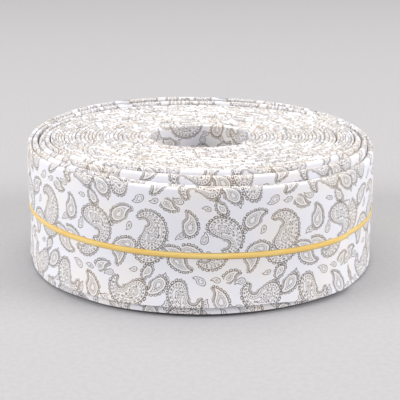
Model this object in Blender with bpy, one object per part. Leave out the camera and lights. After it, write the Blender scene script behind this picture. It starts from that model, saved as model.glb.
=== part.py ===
"""Roll of waistband tape, lying flat on its side edges, in metres with +Z up.

The tape is a printed upper band folded over at its top edge, a narrow yellow piping and a printed
skirt of two plies, the inner ply a little longer than the outer one. The inner turns are one wound
body whose top shows the main twists. The outermost turn is built from its four cut pieces and ends
in the loose end at the front right.
"""

import math

import bmesh
import bpy

# Driving dimensions of the tape
TAPE_WIDTH = 0.055
BAND_THICKNESS = 0.0014
PLY_THICKNESS = 0.0010
PIPING_WIDTH = 0.0025
PIPING_DEPTH = 0.0026
PIPING_BELOW_TOP = 0.0284
PIPING_SIDES = 8
FOLD_STEP_DEG = 45
SKIRT_HEM_STEP = 0.0032
GAP = 0.0003

# Driving dimensions of the roll
HOLE_RADIUS = 0.024
ROLL_RADIUS = 0.0775
OUTER_PITCH = 0.0030
SINGLE_TURNS = 3
WIDE_TWISTS = 9
INNERMOST_TWIST = 0.0036
GROOVE_AT_SIDES = 0.0030
GROOVE_AT_FRONT = 0.0014
TWIST_SHOULDERS = (0.24, 0.76)

# Where the tape ends, in degrees round the roll, with the front at -90
LOOSE_END_DEG = -39.0
TUCKED_DEG = 25.0
STEP_DEG = 5.0

# How the outermost turn and the wound turns stand, as heights of the top edge
FRONT_HEIGHT = 0.0545
SIDE_TILT = 0.0019
BACK_LIFT = 0.0050
BACK_LIFT_FROM = -0.25
WOUND_HEIGHT = 0.0574
WOUND_DEPTH = 0.0560
WOUND_TILT_FRONT = 0.0024
WOUND_TILT_LEFT = 0.0008
WOUND_DISH = 0.0010
WOUND_DISH_REACH = 0.7
TURNS_TO_SETTLE = 3.0

# How far the outermost turn leans and flares
BAND_LEAN = 0.0008
BAND_LEAN_AT_MIDDLE = 0.35
HEM_SLACK = 0.0020
HEM_RISE = 0.0014
HEM_RISE_FROM = 0.84
HEM_FLARE_TUCKED = 0.0003
HEM_FLARE_FREE = 0.0012
UNDER_PLY_FLARE = 1.08
HEM_FLARE_AT_MIDDLE = 0.3
HEM_FLARE_RAMP_DEG = 40.0
CORNER_RADIUS = 0.0020
CORNER_STEPS = (1.0, 0.6, 0.3, 0.1, 0.0)

FULL_TURN = 2.0 * math.pi
LOOSE_END = math.radians(LOOSE_END_DEG)
START = LOOSE_END - FULL_TURN - math.radians(TUCKED_DEG)
AXIS_SHIFT = (OUTER_PITCH / 4, OUTER_PITCH / 4)
SHARP_EDGE_DEG = 50.0
WELD_DISTANCE = 1e-6

CLOTH_COLOUR = (0.77, 0.75, 0.73, 1.0)
SKIRT_COLOUR = (0.76, 0.75, 0.76, 1.0)
PLY_COLOUR = (0.74, 0.73, 0.75, 1.0)
PIPING_COLOUR = (0.83, 0.58, 0.15, 1.0)
CLOTH_ROUGHNESS = 0.85
PIPING_ROUGHNESS = 0.55


def smooth_step(value, low, high):
    """Eased ramp from 0 at low to 1 at high."""
    t = min(max((value - low) / (high - low), 0.0), 1.0)
    return t * t * (3.0 - 2.0 * t)


def outermost_height(angle):
    """Top edge of the outermost turn: low at the right, higher at the left, lifted at the back."""
    lift = BACK_LIFT * smooth_step(math.sin(angle), BACK_LIFT_FROM, 1.0)
    return FRONT_HEIGHT - SIDE_TILT * math.cos(angle) + lift


def wound_height(radius, angle):
    """Top of the wound turns: a plane that rises to the front, slightly dished at its centre."""
    share = radius / ROLL_RADIUS
    slope = WOUND_TILT_FRONT * math.sin(angle) + WOUND_TILT_LEFT * math.cos(angle)
    dish_edge = WOUND_DISH_REACH * ROLL_RADIUS
    dish = WOUND_DISH * (1.0 - smooth_step(radius, HOLE_RADIUS, dish_edge))
    return WOUND_HEIGHT - share * slope - dish


def top_height(turns_in, radius, angle):
    """Top edge of the tape, a number of turns in from the loose end."""
    settled = min(turns_in / TURNS_TO_SETTLE, 1.0)
    return (1.0 - settled) * outermost_height(angle) + settled * wound_height(radius, angle)


def turn_radius(angle):
    """Wound body's outer radius under the outermost turn, which grows by one pitch a turn."""
    return ROLL_RADIUS + OUTER_PITCH * (angle - START) / FULL_TURN


def turns_from_end(angle):
    """Turns between a place on the outermost turn and the loose end."""
    return (LOOSE_END - angle) / FULL_TURN


def placed(radius, angle, height):
    """Point at a radius and a height round the roll's axis."""
    x = AXIS_SHIFT[0] + radius * math.cos(angle)
    y = AXIS_SHIFT[1] + radius * math.sin(angle)
    return (x, y, height)


def twist_radii():
    """Radii between the twists at the winding's start, from the hole to one pitch past the roll.

    Each wide twist stands for a few turns pressed together. They widen evenly outwards, and the
    outermost turns of the body stand alone.
    """
    single_start = ROLL_RADIUS - OUTER_PITCH * SINGLE_TURNS
    mean_width = (single_start - HOLE_RADIUS) / WIDE_TWISTS
    growth = (mean_width - INNERMOST_TWIST) / ((WIDE_TWISTS - 1) / 2)
    radii = [HOLE_RADIUS]
    for i in range(WIDE_TWISTS - 1):
        radii.append(radii[-1] + INNERMOST_TWIST + growth * i)
    radii += [single_start + OUTER_PITCH * i for i in range(SINGLE_TURNS + 2)]
    return radii


def groove_depth(angle):
    """Depth of the grooves between twists, which open at the sides and press shut at the front."""
    return GROOVE_AT_FRONT + (GROOVE_AT_SIDES - GROOVE_AT_FRONT) * math.cos(angle) ** 2


def wound_section(angle):
    """Section of the wound body: its underside outwards, then its ridged top inwards."""
    radii = twist_radii()
    share = (angle - START) / FULL_TURN
    edges = [a + (b - a) * share for a, b in zip(radii, radii[1:])]

    def height(radius):
        turns_in = 1.0 + (ROLL_RADIUS + OUTER_PITCH - radius) / OUTER_PITCH
        return top_height(turns_in, radius, angle)

    underside = [(r, max(height(r) - WOUND_DEPTH, 0.0)) for r in edges]
    groove = groove_depth(angle)
    ridges = []
    for inner, outer in zip(edges, edges[1:]):
        width = outer - inner
        ridges.append((inner, height(inner) - groove))
        for across in TWIST_SHOULDERS:
            shoulder = inner + across * width
            ridges.append((shoulder, height(shoulder)))
    ridges.append((edges[-1], height(edges[-1]) - groove))
    return [placed(r, angle, z) for r, z in underside + ridges[::-1]]


def turn_heights(angle):
    """Top edge, piping centre and bottom edge of the outermost turn.

    The skirt's inner ply has slack, so its hem rests on the surface round the front, and it rises
    a little at the right.
    """
    top = top_height(turns_from_end(angle), ROLL_RADIUS, angle)
    rise = HEM_RISE * smooth_step(math.cos(angle), HEM_RISE_FROM, 1.0)
    return top, top - PIPING_BELOW_TOP, max(top - TAPE_WIDTH - HEM_SLACK, rise)


def corner_drop(angle):
    """How far the band's top corner is rounded off next to the loose end."""
    along = (LOOSE_END - angle) * ROLL_RADIUS
    if along >= CORNER_RADIUS:
        return 0.0
    return CORNER_RADIUS - math.sqrt(CORNER_RADIUS**2 - (CORNER_RADIUS - along) ** 2)


def band_section(angle):
    """Section of the folded upper band: up its outer face, over the fold and down its inner face."""
    top, piping, _ = turn_heights(angle)
    top -= corner_drop(angle)
    foot = piping + PIPING_WIDTH / 2 + GAP
    shoulder = top - BAND_THICKNESS / 2
    outer_foot = turn_radius(angle) + PIPING_DEPTH
    outer_top = outer_foot - BAND_LEAN
    outer_middle = outer_foot - BAND_LEAN_AT_MIDDLE * BAND_LEAN
    middle = (foot + shoulder) / 2
    half = BAND_THICKNESS / 2
    fold = []
    for degrees in range(0, 181, FOLD_STEP_DEG):
        bend = math.radians(degrees)
        fold.append((outer_top - half * (1.0 - math.cos(bend)), shoulder + half * math.sin(bend)))
    outer_face = [(outer_foot, foot), (outer_middle, middle)]
    inner_face = [(outer_middle - BAND_THICKNESS, middle), (outer_foot - BAND_THICKNESS, foot)]
    return [placed(r, angle, z) for r, z in outer_face + fold + inner_face]


def piping_section(angle):
    """Section of the piping: a soft rounded bar that stands a little proud of the cloth."""
    _, centre, _ = turn_heights(angle)
    middle = turn_radius(angle) + GAP + PIPING_DEPTH / 2
    to_corner = 1.0 / math.cos(math.pi / PIPING_SIDES)
    points = []
    for k in range(PIPING_SIDES):
        turn = FULL_TURN * (k + 0.5) / PIPING_SIDES
        across = PIPING_DEPTH / 2 * to_corner * math.cos(turn)
        up = PIPING_WIDTH / 2 * to_corner * math.sin(turn)
        points.append(placed(middle + across, angle, centre + up))
    return points


def hem_flare(angle):
    """How far the outer ply of the skirt stands out at its hem, less where it is tucked under."""
    tucked = math.radians(TUCKED_DEG)
    ramp = math.radians(HEM_FLARE_RAMP_DEG)
    free = smooth_step(angle - START, tucked, tucked + ramp)
    return HEM_FLARE_TUCKED + (HEM_FLARE_FREE - HEM_FLARE_TUCKED) * free


def ply_section(angle, inner_radius, flare, bottom, top):
    """Section of one ply of the skirt, which leans out by its flare towards the hem."""
    middle = (bottom + top) / 2
    heights = ((bottom, flare), (middle, HEM_FLARE_AT_MIDDLE * flare), (top, 0.0))
    outer_face = [(inner_radius + PLY_THICKNESS + lean, z) for z, lean in heights]
    inner_face = [(inner_radius + lean, z) for z, lean in reversed(heights)]
    return [placed(r, angle, z) for r, z in outer_face + inner_face]


def outer_ply_section(angle):
    """Section of the skirt's outer ply, whose hem ends above the inner ply's."""
    top, piping, bottom = turn_heights(angle)
    seam = piping - PIPING_WIDTH / 2 - GAP
    hem = max(top - TAPE_WIDTH + SKIRT_HEM_STEP, bottom + SKIRT_HEM_STEP / 4)
    inner_radius = turn_radius(angle) + 2 * GAP + PLY_THICKNESS
    return ply_section(angle, inner_radius, hem_flare(angle), hem, seam)


def inner_ply_section(angle):
    """Section of the skirt's inner ply, which reaches the surface that the roll rests on."""
    _, piping, bottom = turn_heights(angle)
    seam = piping - PIPING_WIDTH / 2 - GAP
    flare = UNDER_PLY_FLARE * hem_flare(angle)
    return ply_section(angle, turn_radius(angle) + GAP, flare, bottom, seam)


def stations(first, last):
    """Angles of the sections from first to last, on even steps."""
    count = round((last - first) / math.radians(STEP_DEG))
    return [first + (last - first) * i / count for i in range(count + 1)]


def band_stations():
    """Stations of the band, with closer ones round the rounded corner of the loose end."""
    corner = CORNER_RADIUS / ROLL_RADIUS
    near_end = [LOOSE_END - corner * share for share in CORNER_STEPS]
    return stations(START, LOOSE_END)[:-1] + near_end


def cloth_material(name, colour, roughness):
    """Plain finish of one piece."""
    material = bpy.data.materials.new(name)
    material.use_nodes = True
    shader = material.node_tree.nodes["Principled BSDF"]
    shader.inputs["Base Color"].default_value = colour
    shader.inputs["Roughness"].default_value = roughness
    shader.inputs["Metallic"].default_value = 0.0
    return material


def swept_body(name, section_at, angles, material):
    """Closed body swept through a section that is worked out at each angle.

    A grid is rolled into a tube whose rings are the sections. Where the last ring meets the first
    one, as in the wound body, they are welded, and what stays open is capped.
    """
    rings = [section_at(angle) for angle in angles]
    around = len(rings[0])
    mesh_data = bpy.data.meshes.new(name)
    body = bmesh.new()
    bmesh.ops.create_grid(body, x_segments=len(rings) - 1, y_segments=around, size=1.0)
    for vert in body.verts:
        ring = round((vert.co.x + 1.0) / 2 * (len(rings) - 1))
        place = round((vert.co.y + 1.0) / 2 * around) % around
        vert.co = rings[ring][place]
    bmesh.ops.remove_doubles(body, verts=body.verts, dist=WELD_DISTANCE)
    open_edges = [edge for edge in body.edges if edge.is_boundary]
    bmesh.ops.holes_fill(body, edges=open_edges, sides=0)
    bmesh.ops.recalc_face_normals(body, faces=body.faces)
    body.to_mesh(mesh_data)
    body.free()
    mesh_data.materials.append(material)
    mesh_data.shade_smooth()
    mesh_data.set_sharp_from_angle(angle=math.radians(SHARP_EDGE_DEG))
    piece = bpy.data.objects.new(name, mesh_data)
    bpy.context.scene.collection.objects.link(piece)
    return piece


def clear_scene():
    """Removes the objects that a new file opens with."""
    for item in list(bpy.data.objects):
        bpy.data.objects.remove(item, do_unlink=True)


def build():
    """Builds the wound body and the four pieces of the outermost turn under one empty."""
    clear_scene()
    root = bpy.data.objects.new("roll_axis", None)
    bpy.context.scene.collection.objects.link(root)
    cloth = cloth_material("printed_tape", CLOTH_COLOUR, CLOTH_ROUGHNESS)
    band = cloth_material("printed_band", CLOTH_COLOUR, CLOTH_ROUGHNESS)
    outer = cloth_material("printed_skirt", SKIRT_COLOUR, CLOTH_ROUGHNESS)
    inner = cloth_material("printed_under_ply", PLY_COLOUR, CLOTH_ROUGHNESS)
    yellow = cloth_material("yellow_piping", PIPING_COLOUR, PIPING_ROUGHNESS)
    outer_turn = stations(START, LOOSE_END)
    pieces = [
        swept_body("wound_roll", wound_section, stations(START, START + FULL_TURN), cloth),
        swept_body("outer_turn_upper_band", band_section, band_stations(), band),
        swept_body("outer_turn_piping", piping_section, outer_turn, yellow),
        swept_body("outer_turn_skirt_outer_ply", outer_ply_section, outer_turn, outer),
        swept_body("outer_turn_skirt_inner_ply", inner_ply_section, outer_turn, inner),
    ]
    for piece in pieces:
        piece.parent = root


build()
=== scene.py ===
"""Looks of a roll of waistband tape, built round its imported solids, in metres with +Z up.

The tape is wound here as it is made: a printed upper band folded over at its top edge, a golden
yellow piping and a printed skirt of two plies run side by side from the hole to the loose end.
"""

import logging
import math
from dataclasses import dataclass, field
from enum import Enum
from typing import NamedTuple

import bmesh
import bpy
from mathutils import Matrix, Vector, noise

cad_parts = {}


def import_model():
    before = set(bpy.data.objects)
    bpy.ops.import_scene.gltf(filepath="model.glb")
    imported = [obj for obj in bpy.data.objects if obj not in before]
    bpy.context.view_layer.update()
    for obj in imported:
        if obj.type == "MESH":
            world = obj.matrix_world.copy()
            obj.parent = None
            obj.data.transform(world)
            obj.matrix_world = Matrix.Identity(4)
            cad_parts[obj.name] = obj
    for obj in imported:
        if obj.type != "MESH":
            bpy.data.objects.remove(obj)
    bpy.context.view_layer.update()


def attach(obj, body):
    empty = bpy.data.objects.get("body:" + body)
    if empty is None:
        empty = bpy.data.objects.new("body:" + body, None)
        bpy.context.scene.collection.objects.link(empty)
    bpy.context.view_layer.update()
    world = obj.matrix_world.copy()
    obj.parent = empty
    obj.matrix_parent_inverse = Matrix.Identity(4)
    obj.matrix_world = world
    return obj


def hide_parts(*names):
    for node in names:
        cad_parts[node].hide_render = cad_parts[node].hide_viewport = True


LOG = logging.getLogger("roll_of_waistband_tape")
MM = 0.001
FULL_TURN = 2.0 * math.pi


class Ramp(NamedTuple):
    """Two values between which something eases in."""

    low: float
    high: float

    def at(self, value: float) -> float:
        """Eased share.

        Args:
            value: Where the ramp is read.

        Returns:
            A number from 0 at the low value to 1 at the high one.
        """
        t = min(max((value - self.low) / (self.high - self.low), 0.0), 1.0)
        return t * t * (3.0 - 2.0 * t)


class Stretch(Enum):
    """The two stretches of the tape, each of which has pieces of its own."""

    WOUND = "wound"
    OUTERMOST = "outermost"


class Station(NamedTuple):
    """A place along the tape: its angle round the roll, its turns in from the end and its length."""

    angle: float
    turns_in: float
    along: float


class SectionPoint(NamedTuple):
    """A point of a strip's section: its radius, its height and how far across the cloth it lies."""

    radius: float
    height: float
    across: float


class Opening(NamedTuple):
    """A crescent gap between two turns, seen from above.

    The gap is on the inner side of the turn that is `turns_in` turns in from the loose end.
    """

    turns_in: float
    angle_deg: float
    half_width_deg: float
    depth: float


@dataclass(frozen=True)
class TapeSizes:
    """Sizes of the made-up tape, in metres."""

    width: float = 0.055
    band_width: float = 0.030
    band_thickness: float = 0.0012
    outer_ply_width: float = 0.0225
    inner_ply_width: float = 0.0255
    ply_thickness: float = 0.0005
    piping_width: float = 0.0029
    piping_depth: float = 0.0026
    piping_below_top: float = 0.0284
    hem_step: float = 0.0032
    # Share of a turn's pitch that the cloth fills at most
    filled: float = 0.86

    def squeezed(self, thickness: float, pitch: float) -> float:
        """Thickness of a strip where the turns leave it less room."""
        return min(thickness, self.filled * pitch)


@dataclass(frozen=True)
class Winding:
    """How the tape lies in the roll: radius and height of each turn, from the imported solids' sizes."""

    roll_radius: float = 0.0775
    outer_pitch: float = 0.0030
    axis_shift: float = 0.00075
    loose_end_deg: float = -40.0
    tucked_deg: float = 24.0
    proud: float = 0.0026
    # Heights of the outermost turn's top edge and of the wound turns
    front_height: float = 0.0545
    side_tilt: float = 0.0019
    back_lift: float = 0.0050
    wound_height: float = 0.0574
    wound_tilt_front: float = 0.0024
    wound_tilt_left: float = 0.0008
    wound_dish: float = 0.0010
    dish_share: float = 0.7
    hole_radius: float = 0.024
    turns_to_settle: float = 3.0
    unevenness: float = 0.0005
    uneven_scale: float = 1.3
    uneven_turns: float = 2.7
    end_lowered: float = 1.3
    # The hem of the outermost turn, and how far it clears the floor
    hem_slack: float = 0.0020
    hem_rise: float = 0.0004
    hem_clear: float = 0.0014
    hem_clear_at_sides: float = 0.45
    hem_uneven: float = 0.25
    hem_scale: float = 3.1
    least_step: float = 0.25
    # Slack and creases of the outermost turn
    waviness: float = 0.0004
    wave_scale: float = 2.3
    waves_across: float = 22.0
    crease_depth: float = 0.00022
    crease_step_deg: float = 5.2
    crease_sway: float = 0.6
    sways_across: float = 90.0
    side_flare: float = 0.48
    side_held: float = 0.9
    flare_turned: float = 0.14
    # The loose end's lifted corner and the slit under it
    end_lift: float = 0.0009
    end_pad: float = 0.0004
    end_press: float = 0.0006
    end_reach: float = 0.008
    lifted_part: float = 0.01158
    slit_lip: float = 0.00008
    slit_height: float = 0.0009
    slit_depth: float = 0.0018
    seam_width: float = 0.0001
    # Turns in from the loose end where something eases in or out
    low_from: Ramp = Ramp(0.84, 0.96)
    low_until: Ramp = Ramp(1.05, 1.3)
    uneven_from: Ramp = Ramp(0.3, 1.5)
    clear_until: Ramp = Ramp(0.93, 1.0)
    slack_until: Ramp = Ramp(0.9, 1.03)
    padded_from: Ramp = Ramp(0.75, 0.95)
    creased_from: Ramp = Ramp(0.91, 0.95)
    creased_until: Ramp = Ramp(0.985, 1.0)
    # Ways to the back, to the front and to the right, as sines, where something eases in
    back_lifts: Ramp = Ramp(-0.25, 1.0)
    right_rises: Ramp = Ramp(0.84, 1.0)
    front_clears: Ramp = Ramp(0.3, 0.8)
    front_steps: Ramp = Ramp(0.4, 0.85)
    right_joins: Ramp = Ramp(0.3, 0.6)
    front_flares: Ramp = Ramp(0.22, 0.85)
    right_held: Ramp = Ramp(0.75, 1.0)
    # Distances of the last sections from the loose end, in mm
    end_places: tuple[float, ...] = (10.0, 8.5, 7.0, 5.5, 4.2, 3.0, 2.0, 1.4, 0.9, 0.5, 0.2, 0.0)
    # Turns that lie alike, from the loose end inwards: their number and the pitch of each in mm
    groups: tuple[tuple[int, float], ...] = (
        (4, 3.0),
        (5, 1.25),
        (1, 2.0),
        (2, 1.5),
        (2, 2.2),
        (3, 1.8),
        (4, 1.55),
        (3, 1.9),
        (1, 2.6),
        (6, 1.75),
    )
    openings: tuple[Opening, ...] = (
        Opening(0.6, 172.0, 26.0, 0.0007),
        Opening(1.6, 172.0, 24.0, 0.0020),
        Opening(2.6, 162.0, 22.0, 0.0017),
        Opening(3.6, 190.0, 30.0, 0.0006),
        Opening(8.6, 165.0, 18.0, 0.0009),
        Opening(11.6, 172.0, 15.0, 0.0007),
        Opening(1.1, -6.0, 24.0, 0.0001),
        Opening(2.1, 10.0, 22.0, 0.0028),
        Opening(3.1, 4.0, 20.0, 0.0008),
        Opening(7.1, 14.0, 14.0, 0.0006),
        Opening(9.1, -4.0, 26.0, 0.0008),
        Opening(12.1, 8.0, 20.0, 0.0006),
    )

    @property
    def loose_end(self) -> float:
        """Angle of the loose end, in radians."""
        return math.radians(self.loose_end_deg)

    @property
    def outermost_radius(self) -> float:
        """Radius of the tape's outer face at the loose end."""
        grown = self.outer_pitch * (1.0 + self.tucked_deg / 360.0)
        return self.roll_radius + grown + self.proud

    @property
    def turns(self) -> float:
        """Turns from the loose end to the tape's inner end."""
        return float(sum(count for count, _ in self.groups))

    def pitches(self) -> list[float]:
        """Pitch of each whole turn from the loose end inwards, in metres."""
        return [pitch * MM for count, pitch in self.groups for _ in range(count)]

    def pitch(self, turns_in: float) -> float:
        """Pitch of the winding at a place, eased from each turn to the next.

        Args:
            turns_in: Turns in from the loose end.

        Returns:
            The pitch in metres.
        """
        listed = self.pitches()
        place = min(max(turns_in, 0.0), len(listed) - 1.0)
        below = int(place)
        above = min(below + 1, len(listed) - 1)
        share = Ramp(0.0, 1.0).at(place - below)
        return listed[below] * (1.0 - share) + listed[above] * share

    def outer_radius(self, turns_in: float) -> float:
        """Radius of the tape's outer face at a place.

        Args:
            turns_in: Turns in from the loose end.

        Returns:
            The radius in metres.
        """
        listed = self.pitches()
        whole = min(int(turns_in), len(listed) - 1)
        return self.outermost_radius - sum(listed[:whole]) - listed[whole] * (turns_in - whole)

    def top(self, turns_in: float, radius: float, angle: float) -> float:
        """Height of the tape's top edge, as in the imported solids, with each turn a little uneven.

        Args:
            turns_in: Turns in from the loose end.
            radius: Radius of the turn.
            angle: Angle round the roll.

        Returns:
            The height in metres.
        """
        lift = self.back_lift * self.back_lifts.at(math.sin(angle))
        outermost = self.front_height - self.side_tilt * math.cos(angle) + lift
        slope = self.wound_tilt_front * math.sin(angle) + self.wound_tilt_left * math.cos(angle)
        dish = 1.0 - Ramp(self.hole_radius, self.dish_share * self.roll_radius).at(radius)
        wound = self.wound_height - radius / self.roll_radius * slope - self.wound_dish * dish
        low_part = self.low_from.at(turns_in) * (1.0 - self.low_until.at(turns_in))
        settled = min(turns_in / self.turns_to_settle, 1.0) * (1.0 - self.end_lowered * low_part)
        wander = self.ripple(angle, self.uneven_scale, self.uneven_turns * turns_in)
        wander *= self.unevenness * self.uneven_from.at(turns_in)
        return (1.0 - settled) * outermost + settled * wound + wander

    def ripple(self, angle: float, scale: float, level: float) -> float:
        """Smooth ripple round the roll.

        Args:
            angle: Angle round the roll.
            scale: How closely it ripples.
            level: Place across the turns or across the tape.

        Returns:
            A number between about -1 and 1.
        """
        return noise.noise(Vector((scale * math.cos(angle), scale * math.sin(angle), level)))

    def hem(self, turns_in: float, flat_hem: float, angle: float) -> float:
        """Height of the tape's lowest edge: the wound turns rest, the outermost one just clears.

        Args:
            turns_in: Turns in from the loose end.
            flat_hem: Height at which the tape's full width would end.
            angle: Angle round the roll.

        Returns:
            The height in metres.
        """
        rise = self.hem_rise * self.right_rises.at(math.cos(angle))
        sides = self.hem_clear_at_sides
        clear = self.hem_clear * (1.0 + self.hem_uneven * self.ripple(angle, self.hem_scale, 0.0))
        clear *= sides + (1.0 - sides) * self.front_clears.at(-math.sin(angle))
        clear *= 1.0 - self.clear_until.at(turns_in)
        return max(flat_hem - self.hem_slack, rise, clear)

    def hem_share(self, turns_in: float, angle: float) -> float:
        """Share of the hem's step that shows at a place, which is fullest at the front left.

        Args:
            turns_in: Turns in from the loose end.
            angle: Angle round the roll.

        Returns:
            The share.
        """
        front = self.front_steps.at(-math.sin(angle)) * (1.0 - self.right_joins.at(math.cos(angle)))
        front *= 1.0 - self.clear_until.at(turns_in)
        return self.least_step + (1.0 - self.least_step) * front

    def opening(self, turns_in: float, angle: float) -> float:
        """How far the crescent gaps open on the inner side of a turn.

        Args:
            turns_in: Turns in from the loose end.
            angle: Angle round the roll.

        Returns:
            The depth of the gap in metres.
        """
        depth = 0.0
        for gap in self.openings:
            if abs(turns_in - gap.turns_in) > 0.5:
                continue
            away = (math.degrees(angle) - gap.angle_deg + 180.0) % 360.0 - 180.0
            depth += gap.depth * (1.0 - Ramp(0.0, gap.half_width_deg).at(abs(away)))
        return depth

    @property
    def tucked_turns(self) -> float:
        """Turns from the loose end to where the outermost turn comes out from under it."""
        return 1.0 + self.tucked_deg / 360.0

    def stations(self, step_deg: float, outer_step_deg: float) -> list[Station]:
        """Places of the sections, from the inner end to the loose end.

        Args:
            step_deg: Angle between sections in the wound turns.
            outer_step_deg: Angle between sections in the outermost turn.

        Returns:
            The stations in order.
        """
        a_metre = 1.0 / (FULL_TURN * self.outermost_radius)
        near_end = [place * MM * a_metre for place in self.end_places]
        first = self.tucked_turns - self.seam_width * a_metre
        places = self.spread(self.turns, self.tucked_turns, step_deg)
        places += self.spread(first, near_end[0], outer_step_deg) + near_end[1:]
        stations: list[Station] = []
        along = 0.0
        for i, place in enumerate(places):
            if i:
                along += self.outer_radius(place) * FULL_TURN * (places[i - 1] - place)
            stations.append(Station(self.loose_end - FULL_TURN * place, place, along))
        return stations

    def spread(self, first: float, last: float, step_deg: float) -> list[float]:
        """Even places from one to another.

        Args:
            first: Turns in at the first place.
            last: Turns in at the last place.
            step_deg: Largest angle between places.

        Returns:
            The places, in turns in from the loose end.
        """
        steps = math.ceil((first - last) * 360.0 / step_deg)
        return [first + (last - first) * step / steps for step in range(steps)] + [last]

    def stretch(self, stations: list[Station], which: Stretch) -> list[Station]:
        """Stations of one stretch of the tape.

        Args:
            stations: All stations.
            which: The stretch.

        Returns:
            Its stations in order.
        """
        wound = which is Stretch.WOUND
        return [place for place in stations if (place.turns_in >= self.tucked_turns) is wound]

    def shift(self, station: Station, below_top: float) -> float:
        """How far the cloth stands off its even winding, by its slack, its creases and its loose end.

        Args:
            station: Place along the tape.
            below_top: Depth below the tape's top edge.

        Returns:
            The way outwards in metres.
        """
        turns_in, angle = station.turns_in, station.angle
        slack = 1.0 - self.slack_until.at(turns_in)
        pad = self.padded_from.at(turns_in) * (1.0 - Ramp(1.0, self.tucked_turns).at(turns_in))
        if pad + slack <= 0.0:
            return 0.0
        wave = self.waviness * self.ripple(angle, self.wave_scale, self.waves_across * below_top)
        creased = self.creased_from.at(turns_in) * (1.0 - self.creased_until.at(turns_in))
        fold = math.degrees(angle) / self.crease_step_deg
        fold += self.crease_sway * math.sin(self.sways_across * below_top)
        crease = self.crease_depth * creased * math.sin(FULL_TURN * fold)
        return slack * (wave + crease) + self.corner(turns_in, below_top) + self.end_pad * pad

    def corner(self, turns_in: float, below_top: float) -> float:
        """How far the loose end's upper corner is lifted, with the slit under it.

        Args:
            turns_in: Turns in from the loose end.
            below_top: Depth below the tape's top edge.

        Returns:
            The way outwards in metres.
        """
        from_end = turns_in * FULL_TURN * self.outermost_radius
        near_end = 1.0 - Ramp(0.0, self.end_reach).at(from_end)
        lip = self.slit_lip
        below_lift = below_top - self.lifted_part
        pressed = Ramp(-lip, lip).at(below_lift)
        slit = pressed * (1.0 - Ramp(self.slit_height - lip, self.slit_height + lip).at(below_lift))
        lifted = self.end_lift * (1.0 - pressed) - self.end_press * pressed
        return near_end * (lifted - self.slit_depth * slit)

    def flare(self, turns_in: float, angle: float) -> float:
        """Share of the skirt's flare at a place, which is fullest round the front.

        Args:
            turns_in: Turns in from the loose end.
            angle: Angle round the roll.

        Returns:
            The share, and none in the wound turns.
        """
        front = self.front_flares.at(-math.sin(angle - self.flare_turned))
        side = self.side_flare * (1.0 - self.side_held * self.right_held.at(math.cos(angle)))
        free = 1.0 - Ramp(1.0, self.tucked_turns).at(turns_in)
        return free * (side + (1.0 - side) * front)

    def placed(self, radius: float, angle: float, height: float) -> tuple[float, float, float]:
        """Point round the roll's axis.

        Args:
            radius: Way out from the axis.
            angle: Angle round it.
            height: Height above the floor.

        Returns:
            The point's coordinates.
        """
        x = self.axis_shift + radius * math.cos(angle)
        y = self.axis_shift + radius * math.sin(angle)
        return (x, y, height)


@dataclass
class Strip:
    """One strip of the tape, swept along the winding as a closed body with its own UV map.

    The UV map says where on the printed cloth the strip was cut, in metres.
    """

    MERGED_WITHIN = 1e-6
    SHARP_FROM_DEG = 60.0

    name: str
    tape: TapeSizes
    winding: Winding
    cut_at: tuple[float, float] = (0.0, 0.0)

    def section(self, station: Station) -> list[SectionPoint]:
        """Section of the strip at a station, in order round it."""
        raise NotImplementedError

    def turn(self, station: Station) -> tuple[float, float]:
        """Outer radius and top height of the tape at a station."""
        radius = self.winding.outer_radius(station.turns_in)
        return radius, self.winding.top(station.turns_in, radius, station.angle)

    def build(self, stations: list[Station]) -> bpy.types.Object:
        """Sweeps the section along the stations.

        A grid is rolled into a tube whose rings are the sections, and its two ends are capped.

        Args:
            stations: Places of the sections.

        Returns:
            The finished piece.
        """
        rings = [self.section(station) for station in stations]
        tops = [self.turn(station)[1] for station in stations]
        around = len(rings[0])
        last = len(rings) - 1
        body = bmesh.new()
        bmesh.ops.create_grid(body, x_segments=last, y_segments=around, size=1.0)
        cloth = body.loops.layers.uv.new("cloth")
        for face in body.faces:
            for loop in face.loops:
                ring = round((loop.vert.co.x + 1.0) / 2 * last)
                place = round((loop.vert.co.y + 1.0) / 2 * around)
                across = rings[ring][place % around].across
                if place == around:
                    across = rings[ring][-1].across + self.tape.band_thickness
                loop[cloth].uv = (stations[ring].along + self.cut_at[0], across + self.cut_at[1])
        for vert in body.verts:
            ring = round((vert.co.x + 1.0) / 2 * last)
            point = rings[ring][round((vert.co.y + 1.0) / 2 * around) % around]
            station = stations[ring]
            radius = point.radius + self.winding.shift(station, tops[ring] - point.height)
            vert.co = self.winding.placed(radius, station.angle, point.height)
        bmesh.ops.remove_doubles(body, verts=body.verts, dist=self.MERGED_WITHIN)
        open_edges = [edge for edge in body.edges if edge.is_boundary]
        bmesh.ops.holes_fill(body, edges=open_edges, sides=0)
        bmesh.ops.recalc_face_normals(body, faces=body.faces)
        mesh = bpy.data.meshes.new(self.name)
        body.to_mesh(mesh)
        body.free()
        mesh.shade_smooth()
        mesh.set_sharp_from_angle(angle=math.radians(self.SHARP_FROM_DEG))
        piece = bpy.data.objects.new(self.name, mesh)
        bpy.context.scene.collection.objects.link(piece)
        return piece


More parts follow.
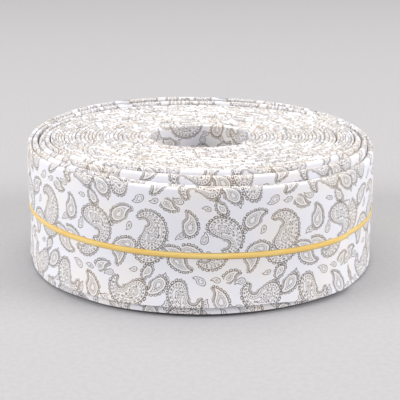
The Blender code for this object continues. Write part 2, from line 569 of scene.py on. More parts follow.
@dataclass
class UpperBand(Strip):
    """The upper band, folded over at its top edge and soft there."""

    lean: float = 0.0006
    lean_power: float = 2.0
    lean_until: Ramp = Ramp(0.7, 1.3)
    fold_steps: int = 8
    fold_height: float = 0.45
    narrowest_fold: float = 0.0009
    bulge_power: int = 8
    # Share of a crescent gap that the turn outside it gives
    gap_outside: float = 0.75
    corner_radius: float = 0.002
    corner_slope: float = 0.05
    # Rows of its two faces, from the seam to the fold, in shares of the height between them
    rows: tuple[float, ...] = (0.0, 0.5, 0.85)

    def section(self, station: Station) -> list[SectionPoint]:
        """Section up the outer face, over the fold and down the inner face.

        Args:
            station: Place along the tape.

        Returns:
            The points, with the cloth's width measured from the seam at the outer face.
        """
        tape, winding = self.tape, self.winding
        turns_in, angle = station.turns_in, station.angle
        radius, top = self.turn(station)
        pitch = winding.pitch(turns_in)
        foot = top - tape.piping_below_top + tape.piping_width / 2
        lean = self.lean * (1.0 - self.lean_until.at(turns_in))
        if turns_in > 1.0:
            lean += (1.0 - self.gap_outside) * winding.opening(turns_in - 1.0, angle)
        cut = self.gap_outside * winding.opening(turns_in, angle)
        pushed_out = max(winding.shift(station, 0.0), 0.0)
        fold_inner = radius - pitch + winding.seam_width + cut - pushed_out
        width = max(radius - lean - fold_inner, self.narrowest_fold)
        shoulder = top - self.fold_height * width
        reach = shoulder - foot
        points = [
            SectionPoint(radius - lean * share**self.lean_power, foot + reach * share, reach * share)
            for share in self.rows
        ]
        centre = radius - lean - width / 2
        for step in range(self.fold_steps + 1):
            bend = math.pi * step / self.fold_steps
            r = centre + width / 2 * math.cos(bend)
            z = shoulder + self.fold_height * width * math.sin(bend)
            points.append(SectionPoint(r, z, reach + width * bend / 2))
        over = reach + width * math.pi / 2
        inner_radius = radius - tape.squeezed(tape.band_thickness, pitch)
        bulge = radius - lean - width - inner_radius
        for share in reversed(self.rows):
            r = inner_radius + bulge * share**self.bulge_power
            points.append(SectionPoint(r, foot + reach * share, over + reach * (1.0 - share)))
        return self.cornered(points, station, top)

    def cornered(self, points: list[SectionPoint], station: Station, top: float) -> list[SectionPoint]:
        """Rounds the top corner of the loose end.

        Args:
            points: Section.
            station: Place along the tape.
            top: Height of the tape's top edge.

        Returns:
            The section, lowered where the corner is rounded.
        """
        from_end = station.turns_in * FULL_TURN * self.winding.outermost_radius
        short = self.corner_radius - from_end
        if short <= 0.0:
            return points
        drop = self.corner_radius - math.sqrt(max(self.corner_radius**2 - short**2, 0.0))
        limit = top - drop
        slope = self.corner_slope
        return [SectionPoint(r, min(z, limit - slope * (top - z)), across) for r, z, across in points]


@dataclass
class Piping(Strip):
    """The piping, a soft rounded bar that stands a little proud of the cloth."""

    sides: int = 10
    proud: float = 0.0002
    squareness: float = 0.7

    def section(self, station: Station) -> list[SectionPoint]:
        """Section round the piping.

        Args:
            station: Place along the tape.

        Returns:
            The points, with the width measured round it.
        """
        tape = self.tape
        radius, top = self.turn(station)
        depth = tape.squeezed(tape.piping_depth, self.winding.pitch(station.turns_in))
        middle = radius + self.proud - depth / 2
        centre = top - tape.piping_below_top
        points = []
        for side in range(self.sides):
            bend = FULL_TURN * (side + 0.5) / self.sides
            r = middle + depth / 2 * self.softened(math.cos(bend))
            z = centre + tape.piping_width / 2 * self.softened(math.sin(bend))
            points.append(SectionPoint(r, z, tape.piping_width * bend / 2))
        return points

    def softened(self, value: float) -> float:
        """Cosine or sine of a rounded square."""
        return math.copysign(abs(value) ** self.squareness, value)


@dataclass
class SkirtPly(Strip):
    """One ply of the skirt, from the seam under the piping to its hem."""

    behind: float = 0.0
    hem_short: float = 0.0
    flare: float = 0.0
    inset: float = 0.0004
    rows: int = 6
    # Share of the pitch that both plies fill at most, and how many plies thick they lie
    room: float = 0.9
    plies: float = 2.4

    def section(self, station: Station) -> list[SectionPoint]:
        """Section down the outer face and up the inner face.

        Args:
            station: Place along the tape.

        Returns:
            The points, with the width measured down from the seam.
        """
        tape, winding = self.tape, self.winding
        turns_in, angle = station.turns_in, station.angle
        radius, top = self.turn(station)
        seam = top - tape.piping_below_top - tape.piping_width / 2
        flat_hem = top - tape.width
        hem = winding.hem(turns_in, flat_hem, angle)
        if self.hem_short:
            shown = self.hem_short * winding.hem_share(turns_in, angle)
            hem = max(flat_hem + self.hem_short, hem + shown)
        squeeze = min(1.0, self.room * winding.pitch(turns_in) / (self.plies * tape.ply_thickness))
        thickness = tape.ply_thickness * squeeze
        flare = self.flare * winding.flare(turns_in, angle)
        outer_radius = radius - self.inset - self.behind * squeeze
        outer_face = []
        inner_face = []
        for row in range(self.rows + 1):
            share = row / self.rows
            r = outer_radius + flare * share**2
            z = seam + (hem - seam) * share
            outer_face.append(SectionPoint(r, z, seam - z))
            inner_face.append(SectionPoint(r - thickness, z, seam - z))
        return outer_face + inner_face[::-1]


class Sums:
    """Makes a material and adds small nodes to it, each of which returns the socket of its result."""

    def __init__(self, name: str) -> None:
        """Makes the material, with its surface alone.

        Args:
            name: Name of the material.
        """
        self.material = bpy.data.materials.new(name)
        self.material.use_nodes = True
        self.tree = self.material.node_tree
        self.inputs = self.tree.nodes["Principled BSDF"].inputs

    def surface(self, **looks: object) -> bpy.types.Material:
        """Sets the looks of the surface.

        Args:
            looks: A socket or a value for each input, whose name has underscores for its spaces.

        Returns:
            The finished material.
        """
        for name, value in looks.items():
            self.feed(self.inputs[name.replace("_", " ")], value)
        return self.material

    def cloth(self) -> bpy.types.NodeSocket:
        """Reads the strip's own UV map, in mm."""
        uv_map = self.node("ShaderNodeUVMap", uv_map="cloth").outputs[0]
        return self.vector("MULTIPLY", uv_map, (1.0 / MM, 1.0 / MM, 1.0))

    def node(self, kind: str, *values: object, **settings: object) -> bpy.types.Node:
        """Adds a node.

        Args:
            kind: Type of the node.
            values: What goes into its first inputs, each a socket, a value or None to leave it.
            settings: Properties of the node.

        Returns:
            The node.
        """
        made = self.tree.nodes.new(kind)
        for name, setting in settings.items():
            setattr(made, name, setting)
        for socket, value in zip(made.inputs, values):
            self.feed(socket, value)
        return made

    def feed(self, socket: bpy.types.NodeSocket, value: object) -> None:
        """Links a socket to an input, or sets the input's value.

        Args:
            socket: The input.
            value: A socket, a value, or None to leave the input as it is.
        """
        if isinstance(value, bpy.types.NodeSocket):
            self.tree.links.new(value, socket)
        elif value is not None:
            socket.default_value = value

    def math(self, operation: str, *values: object, clamp: bool = False) -> bpy.types.NodeSocket:
        """Adds a Math node and returns its result."""
        return self.node("ShaderNodeMath", *values, operation=operation, use_clamp=clamp).outputs[0]

    def vector(self, operation: str, *values: object) -> bpy.types.NodeSocket:
        """Adds a Vector Math node.

        Args:
            operation: What it works out.
            values: Its inputs.

        Returns:
            The socket of the result, a number where the operation gives one.
        """
        made = self.node("ShaderNodeVectorMath", *values, operation=operation)
        number = operation in ("LENGTH", "DISTANCE", "DOT_PRODUCT")
        return made.outputs["Value" if number else "Vector"]

    def noise(self, place: object, scale: float, detail: float = 2.0) -> bpy.types.Node:
        """Adds a Noise Texture read at a place."""
        return self.node("ShaderNodeTexNoise", place, None, scale, detail)

    def bump(self, height_mm: object) -> bpy.types.NodeSocket:
        """Bumps the surface.

        Args:
            height_mm: Socket of the height in mm.

        Returns:
            The socket of the normal.
        """
        made = self.node("ShaderNodeBump")
        made.inputs["Distance"].default_value = MM
        self.feed(made.inputs["Height"], height_mm)
        return made.outputs[0]

    def ramp(
        self, value: object, low: float, high: float, first: float = 0.0, last: float = 1.0
    ) -> bpy.types.NodeSocket:
        """Maps a value onto first to last between low and high, eased and held outside.

        Args:
            value: Socket that is read.
            low: Value that gives first.
            high: Value that gives last.
            first: Result at low and below.
            last: Result at high and above.

        Returns:
            The socket of the result.
        """
        made = self.node(
            "ShaderNodeMapRange", value, low, high, first, last, interpolation_type="SMOOTHSTEP"
        )
        return made.outputs[0]

    def line(
        self, value: object, place: float, half_width: float, soft: float = 0.09
    ) -> bpy.types.NodeSocket:
        """Draws a line where a value passes a place.

        Args:
            value: Socket of a distance in mm.
            place: Distance at the line's middle.
            half_width: Half the line's width.
            soft: Width over which its edges fade.

        Returns:
            The socket of the ink, from 0 to 1.
        """
        away = self.math("ABSOLUTE", self.math("SUBTRACT", value, place))
        return self.ramp(away, half_width - soft, half_width + soft, 1.0, 0.0)

    def most(self, *values: object) -> bpy.types.NodeSocket:
        """Keeps the largest of several values.

        Args:
            values: The values.

        Returns:
            The socket of the largest.
        """
        best = values[0]
        for value in values[1:]:
            best = self.math("MAXIMUM", best, value)
        return best

    def mix(
        self, share: object, first: object, second: object, kind: str = "RGBA"
    ) -> bpy.types.NodeSocket:
        """Blends two colours or vectors.

        Args:
            share: How much of the second.
            first: The first, a socket or a value.
            second: The second, a socket or a value.
            kind: RGBA for colours or VECTOR.

        Returns:
            The socket of the blend.
        """
        made = self.tree.nodes.new("ShaderNodeMix")
        made.data_type = kind
        first_input = {"VECTOR": 4, "RGBA": 6}[kind]
        self.feed(made.inputs[0], share)
        self.feed(made.inputs[first_input], first)
        self.feed(made.inputs[first_input + 1], second)
        return made.outputs[first_input // 2 - 1]


class Motif(NamedTuple):
    """A motif in the print's repeat: its place and size in mm, its turn and whether it is mirrored."""

    x: float
    y: float
    size: float
    turn_deg: float
    mirrored: bool


@dataclass(frozen=True)
class CommaShape:
    """Outline of a comma-shaped motif, in shares of its size.

    Its middle line is an arc round the hook's centre, and its width shrinks from the body to the tip.
    """

    hook: float
    body: float
    tip: float
    span: float
    coil: float
    centre: tuple[float, float]
    reach: tuple[float, float]
    cut: float = 1.9

    @property
    def length(self) -> float:
        """Length of the middle line."""
        return self.hook * self.span * (1.0 - self.coil * self.span / 2)

    @property
    def taper(self) -> float:
        """How fast the width shrinks along the middle line."""
        return (self.body - self.tip) / self.length


class InkLine(NamedTuple):
    """A drawn line: its distance from the outline, negative inside, and half its width, in mm."""

    place: float
    half_width: float


class BeadRow(NamedTuple):
    """A row of small rings beside the outline, in mm.

    It has the distance of their centres, the way between them, their radius and half the line's width.
    """

    place: float
    pitch: float
    radius: float
    half_width: float


@dataclass(frozen=True)
class MotifKind:
    """A kind of motif: its outline, its lines, its rows of beads and its places in the repeat."""

    shape: CommaShape
    lines: tuple[InkLine, ...]
    beads: tuple[BeadRow, ...]
    chart: tuple[Motif, ...]


class PaisleyPrint:
    """A fine hand-drawn paisley repeat: hooked motifs, plain drops between them and small leaves."""

    REPEAT = (56.0, 42.0)
    DROP = CommaShape(1.05, 0.50, 0.05, 1.15, 0.20, (0.93, 0.38), (0.66, 1.02))
    HOOKED = MotifKind(
        CommaShape(0.60, 0.46, 0.06, 3.3, 0.13, (0.22, 0.08), (0.98, 0.66)),
        (InkLine(-0.12, 0.13), InkLine(-1.75, 0.09), InkLine(-3.15, 0.10)),
        (
            BeadRow(0.42, 1.3, 0.42, 0.15),
            BeadRow(-0.95, 1.3, 0.24, 0.13),
            BeadRow(-4.0, 1.2, 0.32, 0.10),
        ),
        (
            Motif(9.5, 31.0, 10.4, 24.0, False),
            Motif(35.5, 33.0, 9.6, 200.0, True),
            Motif(20.5, 10.5, 10.4, 98.0, True),
            Motif(45.0, 13.0, 10.8, -64.0, False),
        ),
    )
    DROPS = MotifKind(
        DROP,
        (InkLine(-0.25, 0.13), InkLine(-1.25, 0.09)),
        (BeadRow(0.34, 1.3, 0.42, 0.15), BeadRow(-2.05, 1.0, 0.28, 0.10)),
        (
            Motif(22.5, 30.0, 6.4, 12.0, False),
            Motif(49.5, 31.5, 6.6, 18.0, True),
            Motif(7.0, 17.0, 6.6, -38.0, False),
            Motif(33.0, 19.5, 6.6, 165.0, True),
            Motif(33.0, 5.5, 6.4, 62.0, False),
            Motif(7.5, 4.5, 6.6, 118.0, True),
            Motif(54.0, 22.6, 4.8, 200.0, False),
            Motif(55.0, 4.5, 5.8, 20.0, False),
            Motif(21.5, 40.0, 5.4, 100.0, True),
            Motif(44.5, 0.6, 4.8, 78.0, False),
            Motif(18.0, 23.4, 4.2, 250.0, True),
        ),
    )
    LEAVES = MotifKind(
        DROP,
        (InkLine(-0.12, 0.15),),
        (BeadRow(-0.95, 0.9, 0.16, 0.11),),
        (
            Motif(12.6, 23.0, 2.4, 40.0, False),
            Motif(26.5, 24.5, 2.8, 130.0, False),
            Motif(40.5, 24.5, 3.6, -20.0, True),
            Motif(27.0, 0.5, 3.0, 60.0, False),
            Motif(36.4, 12.6, 2.6, 10.0, True),
            Motif(12.5, 10.5, 3.4, -50.0, False),
            Motif(38.2, 1.6, 3.0, 100.0, True),
            Motif(1.5, 10.8, 3.0, 80.0, False),
            Motif(0.8, 25.5, 3.0, -70.0, True),
            Motif(27.5, 36.0, 3.2, 20.0, False),
            Motif(14.6, 40.0, 2.8, 0.0, True),
            Motif(43.0, 34.5, 3.0, 150.0, False),
            Motif(1.5, 38.5, 3.6, 30.0, True),
            Motif(55.5, 36.5, 2.8, 60.0, False),
            Motif(47.0, 24.6, 2.6, -40.0, True),
            Motif(38.0, 40.5, 2.6, 45.0, False),
            Motif(28.6, 14.5, 2.6, 200.0, True),
            Motif(3.5, 1.0, 2.4, 120.0, False),
            Motif(47.5, 39.0, 3.0, 10.0, False),
            Motif(14.5, 3.0, 2.4, 80.0, True),
            Motif(51.8, 9.0, 2.2, 130.0, True),
        ),
    )
    # Rings that fill a hooked motif between two distances inside its outline
    SEED_SCALE = 0.66
    SEED_SCATTER = 0.5
    SEED_RING = InkLine(0.16, 0.10)
    SEED_SOFT = 0.05
    SEEDED = (Ramp(-2.2, -2.0), Ramp(-3.3, -3.1))
    # Distances over which a motif's tint fades out
    HOOKED_TINT = Ramp(-0.1, 0.7)
    DROP_TINT = Ramp(-0.1, 0.5)

    def __init__(self, sums: Sums) -> None:
        """Takes the helper that adds the nodes."""
        self.sums = sums

    def nearest(self, cloth: object, chart: tuple[Motif, ...], reach: tuple[float, float]) -> object:
        """Finds the chart's motif that a place on the cloth belongs to.

        Args:
            cloth: Socket of the place on the cloth, in mm.
            chart: Motifs of one kind.
            reach: Half the motif's length and width, in shares of its size.

        Returns:
            Socket of the place within that motif, in shares of its reach, with its size as z.
        """
        sums = self.sums
        best: object = None
        least: object = None
        wide, high = self.REPEAT
        for motif in chart:
            upper = (motif.x + wide / 2, motif.y + high / 2, 0.5)
            lower = (motif.x - wide / 2, motif.y - high / 2, -0.5)
            wrapped = sums.vector("WRAP", cloth, upper, lower)
            side = -1.0 if motif.mirrored else 1.0
            place = sums.node(
                "ShaderNodeMapping",
                wrapped,
                (motif.x, motif.y, -motif.size),
                (0.0, 0.0, math.radians(motif.turn_deg)),
                (reach[0] * motif.size, side * reach[1] * motif.size, 1.0),
                vector_type="TEXTURE",
            ).outputs[0]
            away = sums.vector("DISTANCE", place, (0.0, 0.0, motif.size))
            if best is None:
                best, least = place, away
                continue
            nearer = sums.math("LESS_THAN", away, least)
            best = sums.mix(nearer, best, place, "VECTOR")
            least = sums.math("MINIMUM", least, away)
        return best

    def comma(self, place: object, shape: CommaShape) -> tuple[object, object]:
        """Measures the way to a comma-shaped outline.

        Args:
            place: Socket of the place within the motif.
            shape: Outline of the motif.

        Returns:
            Sockets of the distance from the outline, negative inside, and of the way along it, in mm.
        """
        sums = self.sums
        apart = sums.node("ShaderNodeSeparateXYZ", place).outputs
        size = apart[2]
        flat = sums.vector("MULTIPLY_ADD", place, (*shape.reach, 0.0), (*shape.centre, 0.0))
        inside = sums.node("ShaderNodeSeparateXYZ", flat).outputs
        rho = sums.vector("LENGTH", flat)
        turned = sums.math("ARCTAN2", inside[1], inside[0])
        theta = sums.math("WRAP", turned, FULL_TURN - shape.cut, -shape.cut)
        middle = sums.math("MULTIPLY_ADD", theta, -shape.hook * shape.coil, shape.hook)
        across = sums.math("ABSOLUTE", sums.math("SUBTRACT", rho, middle))
        mean = sums.math("MULTIPLY_ADD", theta, -shape.hook * shape.coil / 2, shape.hook)
        along = sums.math("MULTIPLY", theta, mean)
        slope = shape.taper
        flank = math.sqrt(1.0 - slope * slope)
        foot = sums.math("MULTIPLY_ADD", across, -slope / flank, along)
        share = sums.math("DIVIDE", foot, shape.length, clamp=True)
        beyond = sums.math("MULTIPLY_ADD", share, -shape.length, along)
        reached = sums.node("ShaderNodeCombineXYZ", across, beyond, 0.0).outputs[0]
        radius = sums.math("MULTIPLY_ADD", share, shape.tip - shape.body, shape.body)
        distance = sums.math("SUBTRACT", sums.vector("LENGTH", reached), radius)
        round_body = sums.math("ARCTAN2", across, sums.math("MULTIPLY", along, -1.0))
        turn_limit = math.pi / 2 + math.asin(slope)
        cap = sums.math("MULTIPLY", sums.math("MINIMUM", round_body, turn_limit), shape.body)
        straight = sums.math("MULTIPLY", along, flank)
        straight = sums.math("MULTIPLY_ADD", across, -slope, straight)
        rim = sums.math("ADD", cap, sums.math("MAXIMUM", straight, 0.0))
        return sums.math("MULTIPLY", distance, size), sums.math("MULTIPLY", rim, size)

    def beads(self, distance: object, rim: object, row: BeadRow) -> object:
        """Draws a row of small rings beside the outline.

        Args:
            distance: Socket of the distance from the outline.
            rim: Socket of the way along the outline.
            row: The row.

        Returns:
            The socket of the ink.
        """
        sums = self.sums
        along = sums.math("PINGPONG", rim, row.pitch / 2)
        across = sums.math("SUBTRACT", distance, row.place)
        away = sums.vector("LENGTH", sums.node("ShaderNodeCombineXYZ", along, across, 0.0).outputs[0])
        return sums.line(away, row.radius, row.half_width)

    def seeds(self, cloth: object, distance: object) -> object:
        """Draws the rings that fill a hooked motif.

        Args:
            cloth: Socket of the place on the cloth, in mm.
            distance: Socket of the distance from the motif's outline.

        Returns:
            The socket of the ink.
        """
        sums = self.sums
        cells = sums.node("ShaderNodeTexVoronoi", cloth, voronoi_dimensions="2D")
        cells.inputs["Scale"].default_value = self.SEED_SCALE
        cells.inputs["Randomness"].default_value = self.SEED_SCATTER
        rings = sums.line(cells.outputs["Distance"], *self.SEED_RING, self.SEED_SOFT)
        outer, inner = self.SEEDED
        inside_outer = sums.ramp(distance, *outer, 1.0, 0.0)
        within = sums.math("MULTIPLY", inside_outer, sums.ramp(distance, *inner))
        return sums.math("MULTIPLY", rings, within)

    def draw(self, cloth: object, kind: MotifKind) -> tuple[object, object]:
        """Draws the lines and beads of one kind of motif.

        Args:
            cloth: Socket of the place on the cloth, in mm.
            kind: The kind of motif.

        Returns:
            Sockets of the ink, from 0 to 1, and of the distance from the outline, in mm.
        """
        sums = self.sums
        distance, rim = self.comma(self.nearest(cloth, kind.chart, kind.shape.reach), kind.shape)
        lines = [sums.line(distance, *line) for line in kind.lines]
        beads = [self.beads(distance, rim, row) for row in kind.beads]
        return sums.most(*lines, *beads), distance

    def ink(self, cloth: object) -> tuple[object, object]:
        """Draws the whole repeat.

        Args:
            cloth: Socket of the place on the cloth, in mm.

        Returns:
            Sockets of the ink and of the tint inside the motifs, from 0 to 1.
        """
        sums = self.sums
        large, from_large = self.draw(cloth, self.HOOKED)
        large = sums.most(large, self.seeds(cloth, from_large))
        large_inside = sums.ramp(from_large, *self.HOOKED_TINT, 1.0, 0.0)
        small, from_small = self.draw(cloth, self.DROPS)
        small_inside = sums.ramp(from_small, *self.DROP_TINT, 1.0, 0.0)
        leaves, _ = self.draw(cloth, self.LEAVES)
        free = sums.math("SUBTRACT", 1.0, large_inside)
        small = sums.math("MULTIPLY", small, free)
        free = sums.math("MULTIPLY", free, sums.math("SUBTRACT", 1.0, small_inside))
        leaves = sums.math("MULTIPLY", leaves, free)
        return sums.most(large, small, leaves), sums.most(large_inside, small_inside)


@dataclass(frozen=True)
class PrintedCotton:
    """White shirting with the paisley print: a fine plain weave, soft creases and a slight sheen."""

    name: str
    ground: tuple[float, float, float] = (0.79, 0.79, 0.84)
    warm_ground: tuple[float, float, float] = (0.82, 0.795, 0.785)
    motif_ground: tuple[float, float, float] = (0.80, 0.76, 0.70)
    ink: tuple[float, float, float] = (0.085, 0.062, 0.028)
    warm_ink: tuple[float, float, float] = (0.17, 0.10, 0.035)
    motif_tint: float = 0.25
    # Sizes and depths in mm, scales in shares of a mm
    thread: float = 0.34
    thread_depth: float = 0.02
    crease_depth: float = 0.25
    crease_scale: float = 0.11
    crease_stretch: tuple[float, float, float] = (1.0, 0.45, 1.0)
    hand_drawn: float = 1.1
    hand_scale: float = 0.22
    patch_scale: float = 0.045
    worn_scale: float = 0.9
    worn_detail: float = 3.0
    most_worn: float = 0.7
    # Values of the noise between which the warm ground, the full ink and the duller cloth ease in
    warm: Ramp = Ramp(0.42, 0.68)
    inked: Ramp = Ramp(0.3, 0.62)
    duller: Ramp = Ramp(0.3, 0.7)
    roughness: float = 0.84
    roughness_change: float = 0.06
    sheen: float = 0.15
    sheen_roughness: float = 0.5
    specular: float = 0.3

    def material(self) -> bpy.types.Material:
        """Makes the material.

        Returns:
            The material, which reads the strip's own UV map.
        """
        sums = Sums(self.name)
        cloth = sums.cloth()
        drawn = self.hand_drawn
        wander = sums.noise(cloth, self.hand_scale).outputs["Color"]
        wander = sums.vector("MULTIPLY_ADD", wander, (drawn,) * 3, (-drawn / 2,) * 3)
        ink, inside = PaisleyPrint(sums).ink(sums.vector("ADD", cloth, wander))
        patches = sums.noise(cloth, self.patch_scale).outputs["Fac"]
        warmth = sums.ramp(patches, *self.warm)
        ground = sums.mix(warmth, (*self.ground, 1.0), (*self.warm_ground, 1.0))
        tint = sums.math("MULTIPLY", inside, self.motif_tint)
        ground = sums.mix(tint, ground, (*self.motif_ground, 1.0))
        ink_colour = sums.mix(warmth, (*self.ink, 1.0), (*self.warm_ink, 1.0))
        worn = sums.noise(cloth, self.worn_scale, self.worn_detail).outputs["Fac"]
        left = sums.ramp(worn, *self.inked, self.most_worn, 1.0)
        change = self.roughness_change
        return sums.surface(
            Base_Color=sums.mix(sums.math("MULTIPLY", ink, left), ground, ink_colour),
            Roughness=sums.ramp(patches, *self.duller, self.roughness - change, self.roughness + change),
            Sheen_Weight=self.sheen,
            Sheen_Roughness=self.sheen_roughness,
            Specular_IOR_Level=self.specular,
            Normal=self.relief(sums, cloth),
        )

    def relief(self, sums: Sums, cloth: object) -> object:
        """Raises the crossing threads and the soft creases of the cloth.

        Args:
            sums: Helper that adds the nodes.
            cloth: Socket of the place on the cloth, in mm.

        Returns:
            The socket of the bumped normal.
        """
        apart = sums.node("ShaderNodeSeparateXYZ", cloth).outputs
        count = FULL_TURN / self.thread
        warp = sums.math("SINE", sums.math("MULTIPLY", apart[0], count))
        weft = sums.math("SINE", sums.math("MULTIPLY", apart[1], count))
        threads = sums.math("MULTIPLY", sums.math("MULTIPLY", warp, weft), self.thread_depth)
        stretched = sums.vector("MULTIPLY", cloth, self.crease_stretch)
        creases = sums.noise(stretched, self.crease_scale)
        height = sums.math("MULTIPLY_ADD", creases.outputs["Fac"], self.crease_depth, threads)
        return sums.bump(height)


@dataclass(frozen=True)
class SatinPiping:
    """Golden yellow satin: fine slanting ribs, a soft gloss that varies along it and painted highlight
    in paler gold patches.
    """

    name: str
    gold: tuple[float, float, float] = (0.90, 0.59, 0.14)
    # The paler gold below is painted highlight, not a colour of the satin itself
    painted_highlight_gold: tuple[float, float, float] = (0.93, 0.69, 0.23)
    # Sizes and depths in mm, the scale in shares of a mm
    rib: float = 0.42
    rib_depth: float = 0.035
    patch_scale: float = 0.25
    patch_stretch: tuple[float, float, float] = (0.3, 1.0, 1.0)
    # Values of the noise between which the painted highlight gold and the gloss ease in
    painted_highlight_patches: Ramp = Ramp(0.35, 0.65)
    glossier: Ramp = Ramp(0.3, 0.7)
    dull_roughness: float = 0.52
    glossy_roughness: float = 0.38
    sheen: float = 0.25
    specular: float = 0.5

    def material(self) -> bpy.types.Material:
        """Makes the material.

        Returns:
            The material, which reads the strip's own UV map.
        """
        sums = Sums(self.name)
        cloth = sums.cloth()
        stretched = sums.vector("MULTIPLY", cloth, self.patch_stretch)
        patches = sums.noise(stretched, self.patch_scale).outputs["Fac"]
        # Paler gold where the satin is glossier: painted highlight
        painted_highlight_share = sums.ramp(patches, *self.painted_highlight_patches)
        slanting = sums.vector("DOT_PRODUCT", cloth, (FULL_TURN / self.rib, FULL_TURN / self.rib, 0.0))
        ribs = sums.math("MULTIPLY", sums.math("SINE", slanting), self.rib_depth)
        return sums.surface(
            Base_Color=sums.mix(painted_highlight_share, (*self.gold, 1.0), (*self.painted_highlight_gold, 1.0)),
            Roughness=sums.ramp(patches, *self.glossier, self.dull_roughness, self.glossy_roughness),
            Sheen_Weight=self.sheen,
            Specular_IOR_Level=self.specular,
            Normal=sums.bump(ribs),
        )


@dataclass(frozen=True)
class PaleFloor:
    """Matt pale grey paper with a faint grain."""

    name: str = "pale_floor"
    colour: tuple[float, float, float] = (0.466, 0.465, 0.478)
    grain: float = 0.012
    grain_scale: float = 420.0
    grain_detail: float = 3.0
    # Values of the noise between which the lighter and the duller grain ease in
    lighter: Ramp = Ramp(0.35, 0.65)
    duller: Ramp = Ramp(0.3, 0.7)
    roughness: float = 0.92
    roughness_change: float = 0.04
    specular: float = 0.2

    def material(self) -> bpy.types.Material:
        """Makes the material.

        Returns:
            The material, which reads Object coordinates.
        """
        sums = Sums(self.name)
        place = sums.node("ShaderNodeTexCoord").outputs["Object"]
        grain = sums.noise(place, self.grain_scale, self.grain_detail).outputs["Fac"]
        dark = tuple(part - self.grain for part in self.colour)
        light = tuple(part + self.grain for part in self.colour)
        change = self.roughness_change
        return sums.surface(
            Base_Color=sums.mix(sums.ramp(grain, *self.lighter), (*dark, 1.0), (*light, 1.0)),
            Roughness=sums.ramp(grain, *self.duller, self.roughness - change, self.roughness + change),
            Specular_IOR_Level=self.specular,
        )


@dataclass
class TapeRoll:
    """The whole roll: the wound turns and the outermost turn, each of four strips."""

    tape: TapeSizes = field(default_factory=TapeSizes)
    winding: Winding = field(default_factory=Winding)
    step_deg: float = 4.0
    outer_step_deg: float = 0.9
    outer_flare: float = 0.0027
    inner_flare: float = 0.0024
    between_plies: float = 0.0008
    # Places on the cloth that the strips were cut from
    band_cut_at: tuple[float, float] = (0.0, 0.004)
    outer_ply_cut_at: tuple[float, float] = (0.031, 0.1)
    inner_ply_cut_at: tuple[float, float] = (0.017, 0.2)
    # Rows of the band's faces from the seam to the fold, in shares, close together at the slit
    wound_rows: tuple[float, ...] = (0.0, 0.5, 0.85)
    outermost_rows: tuple[float, ...] = (
        *(0.0, 0.15, 0.3, 0.45, 0.56, 0.5625, 0.569),
        *(0.597, 0.6035, 0.63, 0.72, 0.85, 0.94),
    )

    def build(self) -> None:
        """Builds and dresses every strip of both stretches."""
        stations = self.winding.stations(self.step_deg, self.outer_step_deg)
        length = stations[-1].along
        LOG.info("%.2f m of tape in %.1f turns, %d sections", length, self.winding.turns, len(stations))
        self.build_wound(self.winding.stretch(stations, Stretch.WOUND))
        self.build_outermost(self.winding.stretch(stations, Stretch.OUTERMOST))

    def strips(self, prefix: str, band_rows: tuple[float, ...]) -> tuple[Strip, Strip, Strip, Strip]:
        """The four strips, from the top edge down.

        Args:
            prefix: First words of their names.
            band_rows: Rows of the upper band's faces.

        Returns:
            The upper band, the piping, the skirt's outer ply and its inner ply.
        """
        tape, winding = self.tape, self.winding
        band = UpperBand(prefix + "_upper_band", tape, winding, self.band_cut_at, rows=band_rows)
        piping = Piping(prefix + "_piping", tape, winding)
        outer = SkirtPly(
            prefix + "_skirt_outer_ply",
            tape,
            winding,
            self.outer_ply_cut_at,
            hem_short=tape.hem_step,
            flare=self.outer_flare,
        )
        inner = SkirtPly(
            prefix + "_skirt_inner_ply",
            tape,
            winding,
            self.inner_ply_cut_at,
            behind=self.between_plies,
            flare=self.inner_flare,
        )
        return band, piping, outer, inner

    def build_wound(self, stations: list[Station]) -> None:
        """Builds the wound turns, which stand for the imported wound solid.

        Args:
            stations: Places of their sections.
        """
        cotton = PrintedCotton("paisley_cotton_of_wound_turns").material()
        gold = SatinPiping("golden_satin_of_wound_turns").material()
        finishes = (cotton, gold, cotton, cotton)
        slots = ("printed_tape", "yellow_piping", "printed_tape", "printed_tape")
        pieces = [strip.build(stations) for strip in self.strips("wound", self.wound_rows)]
        for piece, finish, slot in zip(pieces, finishes, slots):
            self.dress(piece, finish, "wound_roll")

    def build_outermost(self, stations: list[Station]) -> None:
        """Builds the outermost turn with the loose end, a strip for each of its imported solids.

        Args:
            stations: Places of its sections.
        """
        pieces = [strip.build(stations) for strip in self.strips("outermost", self.outermost_rows)]
        looks = (
            (PrintedCotton("paisley_cotton_of_band"), "printed_band", "outer_turn_upper_band"),
            (SatinPiping("golden_satin"), "yellow_piping", "outer_turn_piping"),
            (PrintedCotton("paisley_cotton_of_skirt"), "printed_skirt", "outer_turn_skirt_outer_ply"),
            (
                PrintedCotton("paisley_cotton_of_under_ply"),
                "printed_under_ply",
                "outer_turn_skirt_inner_ply",
            ),
        )
        for piece, (finish, slot, node) in zip(pieces, looks):
            self.dress(piece, finish.material(), node)

    def dress(self, piece: bpy.types.Object, finish: bpy.types.Material, node: str) -> None:
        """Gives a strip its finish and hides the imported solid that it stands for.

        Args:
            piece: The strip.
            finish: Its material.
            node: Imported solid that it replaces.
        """
        piece.data.materials.append(finish)
        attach(piece, "root")
        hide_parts(node)
        LOG.info("%s: %d faces", piece.name, len(piece.data.polygons))


class SoftLight(NamedTuple):
    """A square soft light that faces the roll: its place and side in metres, and its power in watts."""

    name: str
    place: tuple[float, float, float]
    side: float
    power: float
    colour: tuple[float, float, float]


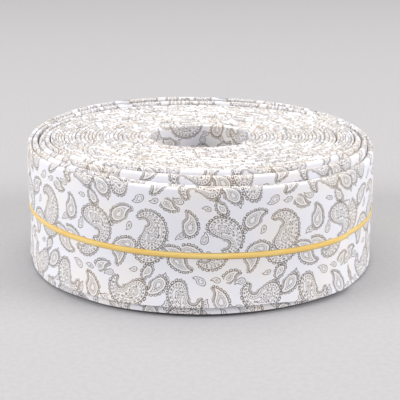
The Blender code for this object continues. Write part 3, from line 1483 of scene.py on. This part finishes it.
@dataclass(frozen=True)
class Studio:
    """Camera, floor and soft light."""

    camera_place: tuple[float, float, float] = (-0.0002, -0.4764, 0.1730)
    camera_down_deg: float = 17.29
    camera_roll_deg: float = -0.4
    lens: float = 93.24
    nearest_seen: float = 0.01
    floor_side: float = 8.0
    air_colour: tuple[float, float, float] = (0.98, 0.985, 1.025)
    air_strength: float = 0.62
    lights: tuple[SoftLight, ...] = (
        SoftLight("overhead", (0.0, 0.35, 2.0), 1.6, 16.4, (1.0, 0.925, 0.79)),
        SoftLight("left_side", (-2.2, -0.6, 1.25), 1.4, 44.0, (1.0, 0.985, 0.98)),
        SoftLight("right_side", (2.2, -0.6, 1.25), 1.4, 42.0, (1.0, 0.985, 0.98)),
    )

    def build(self) -> None:
        """Sets up the camera, the floor and the lights."""
        self.make_camera()
        self.make_floor()
        self.make_lights()

    def make_camera(self) -> None:
        """Puts the camera at the photograph's viewing angle."""
        camera = bpy.data.objects.new("camera", bpy.data.cameras.new("camera"))
        camera.data.lens = self.lens
        camera.data.clip_start = self.nearest_seen
        camera.location = self.camera_place
        tipped = Matrix.Rotation(math.radians(90.0 - self.camera_down_deg), 3, "X")
        rolled = Matrix.Rotation(math.radians(self.camera_roll_deg), 3, "Z")
        camera.rotation_euler = (tipped @ rolled).to_euler()
        bpy.context.scene.collection.objects.link(camera)
        bpy.context.scene.camera = camera

    def make_floor(self) -> None:
        """Lays the plain pale floor."""
        body = bmesh.new()
        bmesh.ops.create_grid(body, x_segments=1, y_segments=1, size=self.floor_side / 2)
        mesh = bpy.data.meshes.new("floor")
        body.to_mesh(mesh)
        body.free()
        floor = bpy.data.objects.new("floor", mesh)
        bpy.context.scene.collection.objects.link(floor)
        mesh.materials.append(PaleFloor().material())

    def make_lights(self) -> None:
        """Hangs the soft lights and sets the pale surroundings."""
        world = bpy.data.worlds.new("surroundings")
        world.use_nodes = True
        air = world.node_tree.nodes["Background"].inputs
        air["Color"].default_value = (*self.air_colour, 1.0)
        air["Strength"].default_value = self.air_strength
        bpy.context.scene.world = world
        for light in self.lights:
            lamp = bpy.data.lights.new(light.name, "AREA")
            lamp.shape = "SQUARE"
            lamp.size = light.side
            lamp.energy = light.power
            lamp.color = light.colour
            holder = bpy.data.objects.new(light.name, lamp)
            holder.location = light.place
            holder.rotation_euler = (-Vector(light.place)).to_track_quat("-Z", "Y").to_euler()
            bpy.context.scene.collection.objects.link(holder)


def main() -> None:
    """Builds the roll and its studio."""
    logging.basicConfig(level=logging.INFO, format="%(message)s")
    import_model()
    bpy.context.scene.view_settings.view_transform = "Standard"
    TapeRoll().build()
    Studio().build()


if __name__ == "__main__":
    main()
